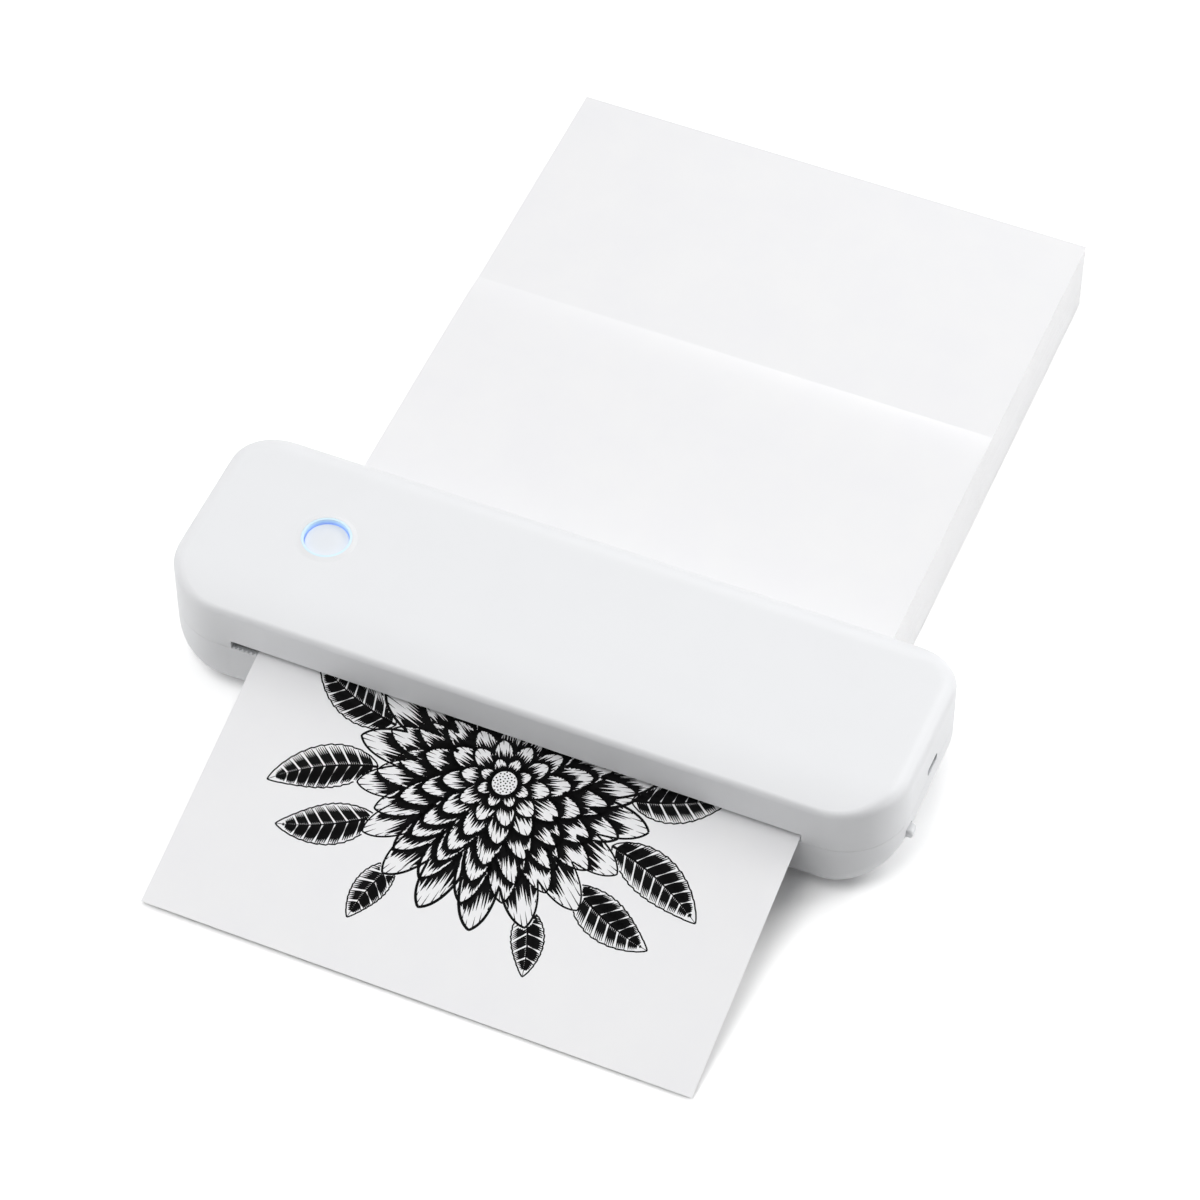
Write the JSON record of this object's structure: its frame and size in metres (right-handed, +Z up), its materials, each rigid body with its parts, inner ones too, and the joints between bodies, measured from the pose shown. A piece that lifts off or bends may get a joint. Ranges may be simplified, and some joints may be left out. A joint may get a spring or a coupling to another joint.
{
  "type": "portable thermal printer",
  "caption": "Slim bar-shaped portable thermal printer with hinged cover, lit round power button, front paper slot and a fan-fold sheet running through it.",
  "frame": {"origin": "on the table under the middle of the printer body", "axes": "X along the body to the right seen from the front, Y to the back, Z up"},
  "size_m": [0.2858, 0.401, 0.0496],
  "materials": {
    "shell": "fine matt white moulding",
    "inner_plastic": "plain dark grey moulding",
    "black_plastic": "matt black",
    "gear_plastic": "natural acetal",
    "button_plastic": "satin, pale lilac white",
    "ring_light": "translucent, lit blue",
    "led_block": "clear resin",
    "battery_wrap": "shrink sleeve",
    "circuit_board": "solder mask green",
    "flex_film": "amber film",
    "rubber": "ground matt rubber",
    "steel": "bright zinc",
    "dark_steel": "blackened strip",
    "motor_can": "drawn can",
    "bronze": "sintered bronze",
    "aluminium": "extruded",
    "substrate": "glazed alumina",
    "paper": "smooth coated thermal paper"
  },
  "bodies": {
    "base": {"base_shell": "shell", "rubber_feet": "rubber", "base_screws": "steel", "front_paper_guide": "inner_plastic", "rear_paper_guide": "inner_plastic", "paper_sensor": "black_plastic", "tear_bar": "dark_steel", "gear_plate": "steel", "bearing_bracket": "steel", "platen_bushes": "bronze", "idler_post": "steel", "drive_motor": "motor_can", "battery_cells": "battery_wrap", "battery_holder": "black_plastic", "hinge_pins": "steel", "paper_stack": "paper", "paper_web": "paper"},
    "cover": {"top_cover": "shell", "light_ring": "ring_light", "button_board": "circuit_board", "button_switch": "black_plastic", "status_leds": "led_block", "main_board": "circuit_board", "board_chips": "black_plastic", "usb_board": "circuit_board", "usb_socket": "steel", "front_liner": "inner_plastic", "rear_liner": "inner_plastic", "liner_screws": "steel", "board_screws": "steel", "head_flex": "flex_film"},
    "print_head": {"head_heatsink": "aluminium", "thermal_head": "substrate", "head_driver_strip": "black_plastic", "head_pins": "steel", "head_springs": "steel"},
    "platen": {"platen_shaft": "steel", "platen_rubber": "rubber", "platen_gear": "gear_plastic"},
    "idler": {"idler_gear": "gear_plastic"},
    "rotor": {"motor_pinion": "bronze"},
    "button": {"power_button": "button_plastic"},
    "release": {"release_button": "shell"},
    "width_stop": {"width_guide": "inner_plastic"}
  },
  "joints": [
    {"name": "cover_hinge", "type": "hinge", "parent": "base", "child": "cover", "pos_m": [0, 0.0385, 0.0415], "axis": [-1, 0, 0], "range_deg": [0, 85]},
    {"name": "head_lift", "type": "hinge", "parent": "cover", "child": "print_head", "pos_m": [0, 0, 0.0335], "axis": [-1, 0, 0], "range_deg": [0, 2], "stiffness_Nm_per_rad": 2, "springref_deg": -2.86, "deforming": ["head_springs"]},
    {"name": "platen_spin", "type": "hinge", "parent": "base", "child": "platen", "pos_m": [0, -0.014, 0.02045], "axis": [1, 0, 0], "continuous": true},
    {"name": "idler_spin", "type": "hinge", "parent": "base", "child": "idler", "pos_m": [0, 0.00688, 0.0182], "axis": [1, 0, 0], "continuous": true},
    {"name": "motor_spin", "type": "hinge", "parent": "base", "child": "rotor", "pos_m": [0, 0.02307, 0.015], "axis": [1, 0, 0], "continuous": true},
    {"name": "button_press", "type": "slide", "parent": "cover", "child": "button", "axis": [0, 0, -1], "range_m": [0, 0.0008], "stiffness_N_per_m": 800, "springref_m": -0.0005},
    {"name": "release_press", "type": "slide", "parent": "base", "child": "release", "axis": [-1, 0, 0], "range_m": [0, 0.002], "stiffness_N_per_m": 500, "springref_m": -0.001},
    {"name": "width_slide", "type": "slide", "parent": "base", "child": "width_stop", "axis": [-1, 0, 0], "range_m": [0, 0.006]}
  ],
  "couplings": [
    {"joint": "idler_spin", "follows": "platen_spin", "ratio": -0.75},
    {"joint": "motor_spin", "follows": "platen_spin", "ratio": 2}
  ]
}
